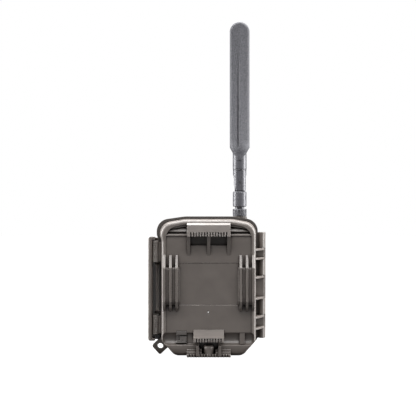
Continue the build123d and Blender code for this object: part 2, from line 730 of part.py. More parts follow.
def sd_card():
    """The memory card, pushed home, with its cut corner."""
    card = block(7.2, 31.2, -35.3, -33.2, 18.0, 50.0)
    corner = [(31.3, 45.9), (31.3, 50.1), (27.1, 50.1)]
    return card - slab(make_face(Polyline(*corner, close=True)), -36, -32)


def sim_card():
    """The SIM card in its holder."""
    card = block(-31.4, -20.2, -34.7, -33.5, 30.0, 44.0)
    return card + block(-30.4, -21.2, -34.7, -32.4, 29.2, 30.4)


def screw(x, z, head_y, tip_y, head_r=2.3, shaft_r=1.2):
    """A pan-head screw along Y, head towards +Y, with a cross recess."""
    head = rod_y(x, z, head_r, head_y - 1.4, head_y)
    head = fillet(head.edges().sort_by(Axis.Y)[-1], 0.5)
    head -= block(x - 1.3, x + 1.3, head_y - 0.6, head_y + 1, z - 0.25, z + 0.25)
    head -= block(x - 0.25, x + 0.25, head_y - 0.6, head_y + 1, z - 1.3, z + 1.3)
    return head + rod_y(x, z, shaft_r, tip_y, head_y - 1.0)


# Latch

def latch_link(z0, z1):
    """One grey hook block that turns on the latch pin and closes beside the catch."""
    profile = [
        (50.0, -38.0),
        (50.0, -14.6),
        (51.0, -13.6),
        (54.6, -13.6),
        (55.4, -14.6),
        (55.4, -35.0),
        (54.2, -38.0),
    ]
    body = prism_z(profile, z0, z1) + rod_z(LATCH_X, LATCH_Y, LATCH_R, z0, z1)
    for n in range(int((z1 - z0) // 2.0) - 1):
        z = z0 + 1.6 + 2.0 * n
        body -= block(50.6, 54.8, -14.0, -13, z, z + 0.7)
    return body - rod_z(LATCH_X, LATCH_Y, LATCH_PIN_R + RUNNING_GAP, 0, 140)


def latch_lever():
    """The long lever outside the links, with its end caps."""
    profile = [(55.8, -38.6), (60.1, -37.0), (60.1, -13.8), (59.0, -12.6), (56.8, -12.4), (55.8, -13.4)]
    wall = prism_z(profile, LEVER_LOW, LEVER_HIGH)
    wall = fillet(wall.edges().filter_by(Axis.Y).group_by(Axis.X)[-1], 2.4)
    for low in (LEVER_LOW, LEVER_HIGH - 2.6):
        wall += block(53.4, 57.5, -33.0, -13.4, low, low + 2.6)
    for z0, z1 in LINK_SPANS:
        wall += block(55.4, 57.0, -34.0, -24.0, z0 + 1, z1 - 1)
    return wall


# Antenna

def sma_connector():
    """The threaded antenna socket with its inner nut."""
    stud = rod_z(ANTENNA_X, ANTENNA_Y, STUD_R, 124.0, 141.4)
    hexagon = Pos(ANTENNA_X, ANTENNA_Y, 127.2) * extrude(RegularPolygon(4.6, 6), amount=2.4)
    return stud + hexagon - rod_z(ANTENNA_X, ANTENNA_Y, 0.7, 138.0, 145)


def antenna_washer():
    """The rubber seal under the antenna."""
    disc = rod_z(ANTENNA_X, ANTENNA_Y, 7.3, SEAT_TOP, NUT_LOW - 0.15)
    return disc - rod_z(ANTENNA_X, ANTENNA_Y, STUD_R, 130, 140)


def antenna_nut():
    """The knurled nut that turns on the socket."""
    nut = rod_z(ANTENNA_X, ANTENNA_Y, NUT_R, NUT_LOW, NUT_HIGH)
    nut = chamfer(nut.edges().filter_by(GeomType.CIRCLE), 0.6)
    nut -= rod_z(ANTENNA_X, ANTENNA_Y, STUD_R + RUNNING_GAP, 130, 150)
    nut -= rod_z(ANTENNA_X, ANTENNA_Y, 4.9, 141.7, 150)
    grooves, groove_r = 28, 0.5
    for n in range(grooves):
        angle = 2 * math.pi * n / grooves
        x = ANTENNA_X + (NUT_R + 0.15) * math.cos(angle)
        y = ANTENNA_Y + (NUT_R + 0.15) * math.sin(angle)
        nut -= rod_z(x, y, groove_r, NUT_LOW + 0.9, NUT_HIGH - 0.9)
    return nut


def antenna_base():
    """The swivelling lower barrel with its tongue."""
    barrel = rod_z(ANTENNA_X, ANTENNA_Y, SWIVEL_R, SWIVEL_LOW, SWIVEL_HIGH)
    barrel = chamfer(barrel.edges().filter_by(GeomType.CIRCLE), 0.7)
    barrel += rod_z(ANTENNA_X, ANTENNA_Y, 4.6, 142.1, SWIVEL_LOW + 1)
    rear, front = ANTENNA_Y - TONGUE_Y, ANTENNA_Y + TONGUE_Y
    tongue = block(ANTENNA_X - 5.0, ANTENNA_X + 5.0, rear, front, SWIVEL_HIGH - 1, PIVOT_Z)
    tongue += rod_y(ANTENNA_X, PIVOT_Z, 5.0, rear, front)
    return barrel + tongue - rod_y(ANTENNA_X, PIVOT_Z, TILT_PIN_R + RUNNING_GAP, -60, -30)


def antenna_sleeve():
    """The upper barrel whose fork turns on the pivot pin, cut back on the side that it tilts to."""
    sleeve = rod_z(ANTENNA_X, ANTENNA_Y, SLEEVE_R, SLEEVE_LOW, SLEEVE_HIGH)
    sleeve = chamfer(sleeve.edges().filter_by(GeomType.CIRCLE), 0.5)
    groove = rod_z(ANTENNA_X, ANTENNA_Y, SLEEVE_R + 1, SLEEVE_LOW + 0.8, SLEEVE_LOW + 1.4)
    sleeve -= groove - rod_z(ANTENNA_X, ANTENNA_Y, SLEEVE_R - 0.45, 180, 190)
    cheek = [
        (-7.0, 13.0),
        (7.0, 13.0),
        (7.0, 5.6),
        (5.8, 4.4),
        (5.8, -2.0),
        (5.2, -5.0),
        (4.0, -8.0),
        (3.2, -8.4),
        (-7.0, -8.4),
    ]
    fork = slab(make_face(Polyline(*cheek, close=True)), -CHEEK_Y, CHEEK_Y)
    fork = Pos(ANTENNA_X, ANTENNA_Y, PIVOT_Z) * fork
    fork -= block(-50, -10, ANTENNA_Y - FORK_SLOT_Y, ANTENNA_Y + FORK_SLOT_Y, 150, PIVOT_Z + 7.0)
    fork = fork & rod_z(ANTENNA_X, ANTENNA_Y, SLEEVE_R - 0.2, 150, 190)
    return sleeve + fork - rod_y(ANTENNA_X, PIVOT_Z, TILT_PIN_R, -60, -30)


def antenna_pin():
    """The pivot pin."""
    return rod_y(ANTENNA_X, PIVOT_Z, TILT_PIN_R, ANTENNA_Y - CHEEK_Y, ANTENNA_Y + CHEEK_Y)


def paddle_section(ridge, z):
    """The paddle's cross-section: two sloping faces each side of a ridge, with blunt edges."""
    x, y, reach = ANTENNA_X, ANTENNA_Y, PADDLE_HALF_W + 0.4
    points = [
        (x - reach, y - PADDLE_EDGE),
        (x, y - ridge),
        (x + reach, y - PADDLE_EDGE),
        (x + reach, y + PADDLE_EDGE),
        (x, y + ridge),
        (x - reach, y + PADDLE_EDGE),
    ]
    return Plane.XY.offset(z) * make_face(Polyline(*points, close=True))


def antenna_paddle():
    """The flat paddle: round top, pointed foot and a ridge on each face."""
    x, half_w, tip_half_w = ANTENNA_X, PADDLE_HALF_W, 3.2
    crown_low = PADDLE_TOP - half_w
    sides = Polyline(
        (x + half_w, crown_low),
        (x + half_w, PADDLE_SHOULDER),
        (x + tip_half_w, PADDLE_TIP),
        (x - tip_half_w, PADDLE_TIP),
        (x - half_w, PADDLE_SHOULDER),
        (x - half_w, crown_low),
    )
    crown = ThreePointArc((x - half_w, crown_low), (x, PADDLE_TOP), (x + half_w, crown_low))
    outline = slab(make_face([sides, crown]), -70, -20)
    low = paddle_section(PADDLE_RIDGE_LOW, PADDLE_TIP - 1)
    high = paddle_section(PADDLE_RIDGE_HIGH, PADDLE_TOP + 1)
    paddle = loft([low, high], ruled=True) & outline
    paddle -= rod_z(ANTENNA_X, ANTENNA_Y, SLEEVE_R + 0.02, 180, SLEEVE_HIGH)
    return paddle - antenna_element()


def antenna_element():
    """The radiator board inside the paddle, which has a slot of the same size for it."""
    x, y = ANTENNA_X, ANTENNA_Y
    return block(x - 6.0, x + 6.0, y - 0.6, y + 0.6, SLEEVE_HIGH, 318.0)


def all_nodes():
    """Every node by name."""
    nodes = {
        "back_case": back_case(),
        "tripod_insert": tripod_insert(),
        "dc_jack": dc_jack(),
        "dc_cover": dc_cover(),
        "battery_tray": battery_tray(),
        "battery_cover": battery_cover(),
        "battery_springs": group([battery_spring(x, row - 3.4) for x in AA_COLUMNS for row in AA_ROWS]),
        "battery_cells": group([battery_cell(x, row) for x in AA_COLUMNS for row in AA_ROWS]),
        "vent_cap": vent_cap(),
        "hinge_pin": rod_z(HINGE_X, HINGE_Y, HINGE_PIN_R, HINGE_LOW, HINGE_HIGH),
        "front_case": front_case(),
        "case_gasket": gasket_ring(1.0, -28.4, -26.15),
        "flange_seal": flange_seal(),
        "latch_guard": latch_guard(),
        "face_plate": face_plate(),
        "face_screws": group([screw(x, z, -56.2, -62.6, shaft_r=1.2) for x, z in FACE_SCREWS]),
        "ir_window": ir_window(),
        "ir_board": ir_board(),
        "ir_leds": group([ir_led(6.6 * i, IR_Z + 7.0 * k) for i in range(-4, 5) for k in (-1, 0, 1)]),
        "lens_window": lens_window(),
        "lens_barrel": lens_barrel(),
        "lens_holder": lens_holder(),
        "ir_filter": ir_filter(),
        "sensor_board": sensor_board(),
        "pir_lens": pir_lens(),
        "pir_sensor": pir_sensor(),
        "status_lamp": round_lamp(-24.0),
        "light_sensor": round_lamp(24.0),
        "microphone": microphone(),
        "main_board": main_board(),
        "modem_module": modem_module(),
        "inner_panel": inner_panel(),
        "panel_screws": group([screw(x, z, -28.5, -46.0) for x, z in POSTS]),
        "lcd_frame": lcd_frame(),
        "lcd_screen": lcd_screen(),
        "tact_switches": group([tact_switch(x, z) for x, z in BUTTONS.values()]),
        "switch_body": switch_body(),
        "switch_knob": switch_knob(),
        "sd_slot": card_slot(6.0, 32.4, 26.6, 52.0),
        "sd_card": sd_card(),
        "sim_slot": card_slot(-32.6, -19.0, 31.0, 46.0),
        "sim_card": sim_card(),
        "latch_pin": rod_z(LATCH_X, LATCH_Y, LATCH_PIN_R, LINK_SPANS[0][0] - 3.0, LINK_SPANS[1][1] + 3.0),
        "latch_lever": latch_lever(),
        "latch_links": group([latch_link(z0, z1) for z0, z1 in LINK_SPANS]),
        "sma_connector": sma_connector(),
        "antenna_washer": antenna_washer(),
        "antenna_nut": antenna_nut(),
        "antenna_base": antenna_base(),
        "antenna_pin": antenna_pin(),
        "antenna_sleeve": antenna_sleeve(),
        "antenna_paddle": antenna_paddle(),
        "antenna_element": antenna_element(),
    }
    for name in BUTTONS:
        nodes["button_" + name] = button(name)
    return nodes


os.makedirs("parts", exist_ok=True)
for node, shape in all_nodes().items():
    export_step(shape, f"parts/{node}.step")
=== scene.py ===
import bmesh
import bpy
import math
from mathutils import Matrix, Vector


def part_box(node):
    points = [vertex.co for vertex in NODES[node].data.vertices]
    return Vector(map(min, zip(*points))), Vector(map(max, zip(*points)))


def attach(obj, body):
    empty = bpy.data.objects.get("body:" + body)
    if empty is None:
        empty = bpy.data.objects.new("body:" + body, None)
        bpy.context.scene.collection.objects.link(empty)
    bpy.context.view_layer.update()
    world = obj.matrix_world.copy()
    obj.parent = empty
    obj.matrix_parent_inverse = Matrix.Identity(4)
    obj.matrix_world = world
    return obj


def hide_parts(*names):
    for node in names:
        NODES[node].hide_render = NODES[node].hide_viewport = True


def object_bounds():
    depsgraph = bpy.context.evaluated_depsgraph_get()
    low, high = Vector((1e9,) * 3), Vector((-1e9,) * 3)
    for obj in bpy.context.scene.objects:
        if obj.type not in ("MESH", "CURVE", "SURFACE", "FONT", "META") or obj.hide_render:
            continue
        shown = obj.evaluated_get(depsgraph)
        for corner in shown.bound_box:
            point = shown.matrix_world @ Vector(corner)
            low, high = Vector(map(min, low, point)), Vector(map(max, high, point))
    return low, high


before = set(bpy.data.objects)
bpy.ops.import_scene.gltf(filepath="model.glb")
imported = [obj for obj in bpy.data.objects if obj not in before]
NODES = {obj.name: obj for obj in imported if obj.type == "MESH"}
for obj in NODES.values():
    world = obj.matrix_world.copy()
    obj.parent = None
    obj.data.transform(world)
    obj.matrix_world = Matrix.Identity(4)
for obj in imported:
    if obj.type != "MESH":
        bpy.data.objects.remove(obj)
CAD_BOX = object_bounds()
MM = 0.001
RANGE_SOCKETS = ("From Min", "From Max", "To Min", "To Max")

# Shade in hollows: how far it reaches in millimetres, and how open a place is when darkest and when clear
WIDE_HOLLOW = (4.2, 0.26, 0.84)
TIGHT_HOLLOW = (1.7, 0.42, 0.82)
CORNER_OPEN = (1.2, 0.52, 0.78)
SEAM_SHADE = (1.6, 0.45, 0.9)
CREASE_SHADE = (2.0, 0.45, 0.9)
# Just behind the shell's flat back, where the brackets and the foot begin
SHELL_BACK = (7.7 * MM, 7.9 * MM)
# How far a normal turns, as a cosine, between a flat place and a corner
FLAT_TURN, CORNER_TURN = 0.99, 0.84
BEVEL_SAMPLES, SHADE_SAMPLES = 8, 6


# Materials

class Surface:
    """A material and the nodes that make it. Places are the object's own, in metres."""

    def __init__(self, name):
        self.material = bpy.data.materials.new(name)
        self.material.use_nodes = True
        self.nodes = self.material.node_tree.nodes
        self.links = self.material.node_tree.links
        self.nodes.clear()
        out = self.nodes.new("ShaderNodeOutputMaterial")
        self.shader = self.nodes.new("ShaderNodeBsdfPrincipled")
        self.links.new(self.shader.outputs["BSDF"], out.inputs["Surface"])
        self.place = self.nodes.new("ShaderNodeTexCoord").outputs["Object"]

    def put(self, node, socket, value):
        """Links or sets one input of a node."""
        if isinstance(value, bpy.types.NodeSocket):
            self.links.new(value, node.inputs[socket])
        else:
            node.inputs[socket].default_value = value

    def set(self, **values):
        """Sets the shader's own sockets, named with underscores for spaces."""
        for name, value in values.items():
            self.put(self.shader, name.replace("_", " "), value)

    def stretched(self, x, y, z):
        """The place, scaled along each axis, for grain that runs one way."""
        node = self.nodes.new("ShaderNodeMapping")
        self.links.new(self.place, node.inputs["Vector"])
        node.inputs["Scale"].default_value = (x, y, z)
        return node.outputs["Vector"]

    def noise(self, size, detail=2.0, place=None):
        """Soft noise whose features are this many millimetres across."""
        node = self.nodes.new("ShaderNodeTexNoise")
        self.links.new(place or self.place, node.inputs["Vector"])
        node.inputs["Scale"].default_value = 1 / (size * MM)
        node.inputs["Detail"].default_value = detail
        return node.outputs["Fac"]

    def cells(self, size, feature="F1"):
        """Cell noise, this many millimetres a cell."""
        node = self.nodes.new("ShaderNodeTexVoronoi")
        node.feature = feature
        self.links.new(self.place, node.inputs["Vector"])
        node.inputs["Scale"].default_value = 1 / (size * MM)
        return node.outputs["Distance"]

    def span(self, value, low, high, out_low=0.0, out_high=1.0):
        """Moves a value from one range to another, with its ends held."""
        node = self.nodes.new("ShaderNodeMapRange")
        self.put(node, "Value", value)
        for socket, given in zip(RANGE_SOCKETS, (low, high, out_low, out_high)):
            node.inputs[socket].default_value = given
        return node.outputs["Result"]

    def math(self, kind, a, b):
        """One sum on two values."""
        node = self.nodes.new("ShaderNodeMath")
        node.operation = kind
        self.put(node, 0, a)
        self.put(node, 1, b)
        return node.outputs[0]

    def mix(self, share, a, b):
        """A colour between two, by a share from 0 to 1."""
        node = self.nodes.new("ShaderNodeMix")
        node.data_type = "RGBA"
        self.put(node, 0, share)
        self.put(node, 6, a)
        self.put(node, 7, b)
        return node.outputs[2]

    def axis(self, index):
        """One coordinate of the place, in metres."""
        node = self.nodes.new("ShaderNodeSeparateXYZ")
        self.links.new(self.place, node.inputs[0])
        return node.outputs[index]

    def rounded(self, radius):
        """The normal with corners rounded by this many millimetres, and where those corners are."""
        bevel = self.nodes.new("ShaderNodeBevel")
        bevel.samples = BEVEL_SAMPLES
        bevel.inputs["Radius"].default_value = radius * MM
        flat = self.nodes.new("ShaderNodeNewGeometry").outputs["Normal"]
        dot = self.nodes.new("ShaderNodeVectorMath")
        dot.operation = "DOT_PRODUCT"
        self.links.new(bevel.outputs["Normal"], dot.inputs[0])
        self.links.new(flat, dot.inputs[1])
        turned = self.span(dot.outputs["Value"], FLAT_TURN, CORNER_TURN)
        return bevel.outputs["Normal"], self.math("MULTIPLY", turned, self.open_air(*CORNER_OPEN))

    def open_air(self, reach, low, high):
        """How open a place is: 0 deep in a corner, 1 where nothing is within this many millimetres."""
        node = self.nodes.new("ShaderNodeAmbientOcclusion")
        node.samples = SHADE_SAMPLES
        node.inputs["Distance"].default_value = reach * MM
        return self.span(node.outputs["AO"], low, high)

    def bump(self, height, depth, strength=1.0, normal=None):
        """A bumped normal, this many millimetres deep."""
        node = self.nodes.new("ShaderNodeBump")
        node.inputs["Strength"].default_value = strength
        node.inputs["Distance"].default_value = depth * MM
        self.links.new(height, node.inputs["Height"])
        if normal is not None:
            self.links.new(normal, node.inputs["Normal"])
        return node.outputs["Normal"]


def rgba(colour, factor=1.0):
    """A colour made lighter or darker, with full cover."""
    return (colour[0] * factor, colour[1] * factor, colour[2] * factor, 1.0)


def moulded(name, colour, rough=0.42, grain=0.35, depth=0.02, corner=0.5, wear_and_highlight=0.8, spread=0.10, specular=0.9,
            hollow_shade=0.22, ground_shade=0.0):
    """Moulded plastic: fine spark-eroded grain, slow mottling, corners lightened as rubbed wear and painted
    highlight, and painted shade in the hollows.
    """
    s = Surface(name)
    normal, corners = s.rounded(corner)
    fine = s.noise(grain, 3.0)
    slow = s.noise(14.0, 3.0)
    streak = s.noise(5.0, 2.0, s.stretched(1.0, 1.0, 0.25))
    tone = s.mix(s.span(slow, 0.3, 0.7), rgba(colour, 1 - spread), rgba(colour, 1 + spread))
    speck = s.mix(s.span(fine, 0.35, 0.75, 0.0, 0.35), tone, rgba(colour, 1.35))
    matt = s.span(s.math("ADD", slow, s.math("MULTIPLY", fine, 0.4)), 0.4, 1.0, rough - 0.06, rough + 0.08)
    # corners are lightened partly as rubbed wear and partly as a painted highlight along the edges
    wear_and_highlight_mask = s.math("MULTIPLY", corners, s.span(streak, 0.35, 0.6, wear_and_highlight * 0.3, wear_and_highlight))
    wear_and_highlight_colour = rgba([min(1.0, c * 3.4 + 0.11) for c in colour])
    grain_with_wear_and_highlight = s.mix(wear_and_highlight_mask, speck, wear_and_highlight_colour)
    # painted shade: the colour turns darker and browner in hollows and tight corners, and the shine there is
    # lowered
    hollow_shade_colour = (colour[0] * hollow_shade, colour[1] * hollow_shade * 0.8, colour[2] * hollow_shade * 0.7, 1.0)
    wide = s.open_air(*WIDE_HOLLOW)
    tight = s.open_air(*TIGHT_HOLLOW)
    dulled = s.span(wide, 0.0, 1.0, min(1.0, hollow_shade + 0.1), 1.0)
    dimmed = s.span(tight, 0.0, 1.0, 0.25, 1.0)
    shine = s.math("MULTIPLY", dulled, dimmed)
    if ground_shade:
        # painted shade: the shell darkens towards the ground, but not what stands out behind it
        low = s.span(s.axis(2), 0.0, ground_shade * MM, 0.15, 1.0)
        proud = s.span(s.axis(1), *SHELL_BACK)
        out_of_ground_shade = s.math("MAXIMUM", low, proud)
        wide = s.math("MULTIPLY", wide, out_of_ground_shade)
        shine = s.math("MULTIPLY", shine, out_of_ground_shade)
    s.set(
        Base_Color=s.mix(tight, rgba(hollow_shade_colour, 0.5), s.mix(wide, hollow_shade_colour, grain_with_wear_and_highlight)),
        Roughness=s.math("SUBTRACT", matt, s.math("MULTIPLY", corners, 0.08)),
        Specular_IOR_Level=s.math("MULTIPLY", shine, specular),
        Normal=s.bump(fine, depth, 0.6, normal),
    )
    return s.material


def metal(name, colour, rough=0.3, brushed=None, corner=0.15, tarnish=0.25):
    """Worked metal with a lay, small dents in its shine and corners lightened as polish and painted
    highlight.
    """
    s = Surface(name)
    normal, corners = s.rounded(corner)
    place = s.stretched(*brushed) if brushed else s.place
    lay = s.noise(0.25, 3.0, place)
    slow = s.noise(3.0, 3.0)
    tone = s.mix(s.span(slow, 0.35, 0.75, 0.0, tarnish), rgba(colour), rgba(colour, 0.45))
    # corners lighter: partly polish, partly a painted highlight
    polish_and_highlight = rgba([min(1.0, c * 1.5 + 0.03) for c in colour])
    s.set(
        Base_Color=s.mix(s.math("MULTIPLY", corners, 0.6), tone, polish_and_highlight),
        Metallic=1.0,
        Roughness=s.span(lay, 0.3, 0.7, rough - 0.07, rough + 0.12),
        Normal=s.bump(lay, 0.006, 0.5, normal),
    )
    return s.material


def rubber(name, colour, rough=0.72):
    """Soft sealing rubber with a dusty bloom."""
    s = Surface(name)
    normal, corners = s.rounded(0.25)
    fine = s.noise(0.3, 3.0)
    bloom = s.noise(2.5, 4.0)
    s.set(
        Base_Color=s.mix(s.span(bloom, 0.4, 0.75, 0.0, 0.6), rgba(colour), rgba(colour, 1.9)),
        Roughness=s.span(bloom, 0.3, 0.7, rough - 0.08, rough + 0.1),
        Sheen_Weight=0.15,
        Normal=s.bump(fine, 0.02, 0.5, normal),
    )
    return s.material


def glass(name, colour, through, rough=0.03, smear=0.05, coat=0.5):
    """Moulded optical plastic or glass, with faint smears on its surface."""
    s = Surface(name)
    normal, _ = s.rounded(0.3)
    smears = s.noise(6.0, 4.0, s.stretched(1.0, 1.0, 0.35))
    ripple = s.noise(9.0, 1.0)
    s.set(
        Base_Color=s.mix(s.span(smears, 0.5, 0.8, 0.0, 0.4), rgba(colour), rgba(colour, 1.5)),
        Transmission_Weight=through,
        IOR=1.49,
        Roughness=s.span(smears, 0.45, 0.8, rough, rough + smear),
        Coat_Weight=coat,
        Coat_Roughness=0.03,
        Normal=s.bump(ripple, 0.02, 0.3, normal),
    )
    return s.material


def circuit(name):
    """Solder mask over copper tracks, with pads and drilled vias."""
    s = Surface(name)
    normal, corners = s.rounded(0.1)
    mask = (0.012, 0.075, 0.05)
    blocks = s.cells(3.2, "DISTANCE_TO_EDGE")
    tracks = s.span(blocks, 0.10, 0.16)
    fine = s.noise(0.5, 2.0)
    pads = s.span(s.cells(2.1), 0.16, 0.13)
    tone = s.mix(tracks, rgba(mask, 1.9), rgba(mask))
    s.set(
        Base_Color=s.mix(pads, tone, (0.62, 0.5, 0.25, 1)),
        Metallic=s.math("MULTIPLY", pads, 0.9),
        Roughness=s.span(fine, 0.3, 0.7, 0.28, 0.42),
        Normal=s.bump(blocks, 0.03, 0.4, normal),
    )
    return s.material


def grained(name, colour):
    """The paddle's coarse sparkling grain, with painted shade in its crease."""
    s = Surface(name)
    coarse = s.noise(1.3, 4.0)
    pits = s.cells(0.9)
    slow = s.noise(20.0, 2.0)
    tone = s.mix(s.span(coarse, 0.34, 0.66), rgba(colour, 0.62), rgba(colour, 1.38))
    tone = s.mix(s.span(slow, 0.35, 0.7, 0.0, 0.3), tone, rgba(colour, 1.12))
    # painted shade: the colour darkens in the crease and other hollows
    s.set(
        Base_Color=s.mix(s.open_air(*CREASE_SHADE), rgba(colour, 0.2), tone),
        Roughness=s.span(coarse, 0.3, 0.7, 0.55, 0.72),
        Specular_IOR_Level=0.3,
        Normal=s.bump(s.math("ADD", coarse, s.math("MULTIPLY", pits, 0.5)), 0.09, 0.7),
    )
    return s.material


def satin_barrel(name, colour):
    """The dark satin finish of the antenna's turned barrels, with painted highlights on the corners and
    painted shade in the seams.
    """
    s = Surface(name)
    normal, corners = s.rounded(0.25)
    lay = s.noise(0.35, 3.0, s.stretched(1.0, 1.0, 0.15))
    slow = s.noise(4.0, 2.0)
    tone = s.mix(slow, rgba(colour, 0.85), rgba(colour, 1.15))
    # painted highlight: corners much lighter; below, painted shade darkens the seams
    turned = s.mix(s.math("MULTIPLY", corners, 0.55), tone, rgba(colour, 2.2))
    s.set(
        Base_Color=s.mix(s.open_air(*SEAM_SHADE), rgba(colour, 0.15), turned),
        Metallic=0.15,
        Roughness=s.span(lay, 0.3, 0.7, 0.27, 0.38),
        Specular_IOR_Level=0.5,
        Normal=s.bump(lay, 0.01, 0.5, normal),
    )
    return s.material


def screen(name):
    """A dark screen under its polariser, with a faint haze."""
    s = Surface(name)
    normal, _ = s.rounded(0.2)
    fine = s.noise(0.2, 1.0)
    haze = s.noise(8.0, 3.0)
    s.set(
        Base_Color=s.mix(s.span(haze, 0.4, 0.7), (0.006, 0.008, 0.010, 1), (0.012, 0.016, 0.020, 1)),
        Roughness=s.span(haze, 0.4, 0.8, 0.06, 0.14),
        Coat_Weight=0.6,
        Coat_Roughness=0.04,
        Normal=s.bump(fine, 0.002, 0.3, normal),
    )
    return s.material


CASE = (0.113, 0.096, 0.085)
LOOKS = {
    "case_plastic": moulded("case_moulding", CASE, ground_shade=11.0),
    "face_plastic": moulded("face_moulding", (0.045, 0.040, 0.036), rough=0.40),
    "latch_grey": moulded("latch_moulding", (0.150, 0.136, 0.124), rough=0.42, wear_and_highlight=0.6, hollow_shade=0.7),
    "rod_grey": moulded("rod_sleeve", (0.450, 0.415, 0.390), rough=0.5, corner=0.1, wear_and_highlight=0.2, hollow_shade=1.0),
    "cover_plastic": moulded("cover_moulding", (0.082, 0.072, 0.066), rough=0.5),
    "inner_plastic": moulded("inner_moulding", (0.055, 0.055, 0.056), rough=0.5),
    "black_plastic": moulded("black_moulding", (0.018, 0.018, 0.019), rough=0.42, wear_and_highlight=0.3),
    "knob_plastic": moulded("knob_moulding", (0.42, 0.15, 0.03), rough=0.45, wear_and_highlight=0.3),
    "card_plastic": moulded("card_moulding", (0.020, 0.035, 0.075), rough=0.4, wear_and_highlight=0.3),
    "sim_plastic": moulded("sim_moulding", (0.74, 0.74, 0.72), rough=0.35, wear_and_highlight=0.1, hollow_shade=0.8),
    "key_rubber": rubber("key_rubber_skin", (0.045, 0.045, 0.047), rough=0.6),
    "seal_rubber": rubber("seal_rubber_skin", (0.040, 0.034, 0.030)),
    "brass": metal("turned_brass", (0.72, 0.50, 0.22), 0.28, (1.0, 1.0, 6.0)),
    "bright_steel": metal("plated_steel", (0.60, 0.60, 0.61), 0.24),
    "dark_steel": metal("blackened_steel", (0.16, 0.16, 0.17), 0.34, (1.0, 1.0, 0.1)),
    "dark_filter": glass("dark_filter_glass", (0.110, 0.030, 0.040), 0.75, rough=0.04, coat=0.6),
    "lamp_epoxy": glass("lamp_resin", (0.55, 0.50, 0.56), 0.35),
    "clear_window": glass("clear_window_glass", (0.62, 0.66, 0.68), 0.97, rough=0.01, smear=0.02, coat=0.2),
    "milky_lens": glass("milky_lens_plastic", (0.27, 0.28, 0.265), 0.10, rough=0.36, coat=0.15),
    "screen_glass": screen("screen_glass_face"),
    "circuit_board": circuit("circuit_board_face"),
    "antenna_dark": satin_barrel("antenna_satin", (0.092, 0.092, 0.102)),
    "antenna_grain": grained("antenna_grain_skin", (0.084, 0.084, 0.093)),
    "cell_wrap": moulded("cell_wrap_film", (0.045, 0.11, 0.075), rough=0.3, wear_and_highlight=0.1, specular=0.6),
}

for node in NODES.values():
    for index, packed in enumerate(node.data.materials):
        node.data.materials[index] = LOOKS[packed.name.split(".")[0]]


# Mesh helpers

def piece(name, mesh, look, body, replaced=(), smooth=40.0):
    """A finished mesh as a piece of the model, in the frame's metres."""
    obj = bpy.data.objects.new(name, mesh)
    bpy.context.scene.collection.objects.link(obj)
    mesh.materials.append(LOOKS[look])
    for polygon in mesh.polygons:
        polygon.use_smooth = True
    mesh.set_sharp_from_angle(angle=math.radians(smooth))
    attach(obj, body)
    if replaced:
        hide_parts(*replaced)
    return obj


def mesh_of(name, points, faces):
    """A mesh from points in millimetres, with its faces turned outwards."""
    mesh = bpy.data.meshes.new(name)
    mesh.from_pydata([(x * MM, y * MM, z * MM) for x, y, z in points], [], faces)
    work = bmesh.new()
    work.from_mesh(mesh)
    bmesh.ops.remove_doubles(work, verts=work.verts, dist=1e-7)
    bmesh.ops.recalc_face_normals(work, faces=work.faces)
    work.to_mesh(mesh)
    work.free()
    return mesh


def box_mm(node):
    """A CAD node's lowest and highest corners in millimetres."""
    low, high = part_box(node)
    return low / MM, high / MM


# Antenna paddle

